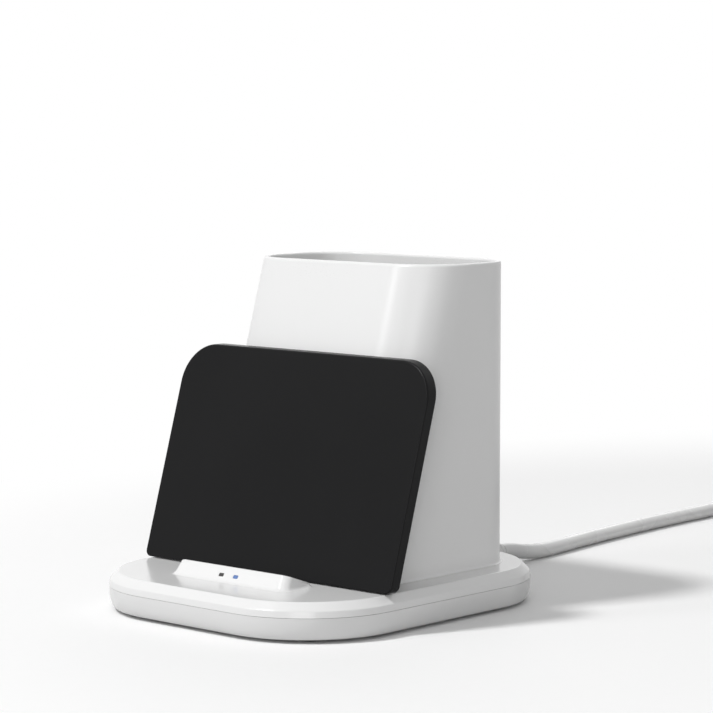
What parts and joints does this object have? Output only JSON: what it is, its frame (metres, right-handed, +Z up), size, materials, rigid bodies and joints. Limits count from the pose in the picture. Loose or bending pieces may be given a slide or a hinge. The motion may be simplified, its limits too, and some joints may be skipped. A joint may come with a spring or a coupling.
{
  "type": "wireless charger pen holder",
  "caption": "Low white base with a tall pen cup, a black charging panel leaning against it, a phone ledge with two lamp windows, and a white supply lead.",
  "frame": {"origin": "middle of the base's footprint, on the surface that the rubber feet stand on", "axes": "+Z up, +Y to the back, where the lead leaves, +X to the right of someone facing the charging panel"},
  "size_m": [0.117, 0.3337, 0.101],
  "materials": {
    "base_white": "glossy moulded",
    "cup_white": "semi-gloss moulded",
    "panel_black": "satin",
    "foot_rubber": "matt",
    "plated_steel": "nickel plated",
    "board_green": "solder mask",
    "chip_black": "moulded",
    "ferrite_grey": "sintered",
    "capacitor_brown": "dipped",
    "coil_copper": "enamelled copper",
    "tape_grey": "adhesive film",
    "wire_red": "insulation",
    "blue_lens": "clear blue",
    "smoked_lens": "smoked",
    "lead_white": "soft semi-gloss"
  },
  "bodies": {
    "root": {"base_bottom_shell": "base_white", "base_screw_1": "plated_steel", "base_screw_2": "plated_steel", "base_screw_3": "plated_steel", "base_screw_4": "plated_steel", "base_top_shell": "base_white", "board_screw_1": "plated_steel", "board_screw_2": "plated_steel", "board_screw_3": "plated_steel", "board_screw_4": "plated_steel", "bridge_chip": "chip_black", "charging_coil": "coil_copper", "charging_lamp": "blue_lens", "charging_lead": "lead_white", "charging_window": "blue_lens", "coil_lead_1": "wire_red", "coil_lead_2": "wire_red", "control_chip": "chip_black", "cup_screw_1": "plated_steel", "cup_screw_2": "plated_steel", "cup_screw_3": "plated_steel", "cup_screw_4": "plated_steel", "cup_shell": "cup_white", "far_plug_body": "lead_white", "far_plug_tip": "plated_steel", "far_plug_tongue": "chip_black", "far_strain_relief": "lead_white", "ferrite_sheet": "ferrite_grey", "fixing_tape": "tape_grey", "lamp_board": "board_green", "lamp_board_screw_1": "plated_steel", "lamp_board_screw_2": "plated_steel", "lamp_ribbon": "tape_grey", "lead_coil": "lead_white", "lead_plug_body": "lead_white", "lead_plug_tip": "plated_steel", "lead_strain_relief": "lead_white", "lead_tail": "lead_white", "lead_tie_1": "chip_black", "lead_tie_2": "chip_black", "main_board": "board_green", "panel_back": "panel_black", "panel_cover": "panel_black", "panel_screw_1": "plated_steel", "panel_screw_2": "plated_steel", "panel_screw_3": "plated_steel", "panel_screw_4": "plated_steel", "power_inductor": "ferrite_grey", "resonant_capacitor_1": "capacitor_brown", "resonant_capacitor_2": "capacitor_brown", "rubber_foot_1": "foot_rubber", "rubber_foot_2": "foot_rubber", "rubber_foot_3": "foot_rubber", "rubber_foot_4": "foot_rubber", "standby_lamp": "wire_red", "standby_window": "smoked_lens", "usb_socket": "plated_steel", "usb_socket_tongue": "chip_black"}
  },
  "joints": []
}
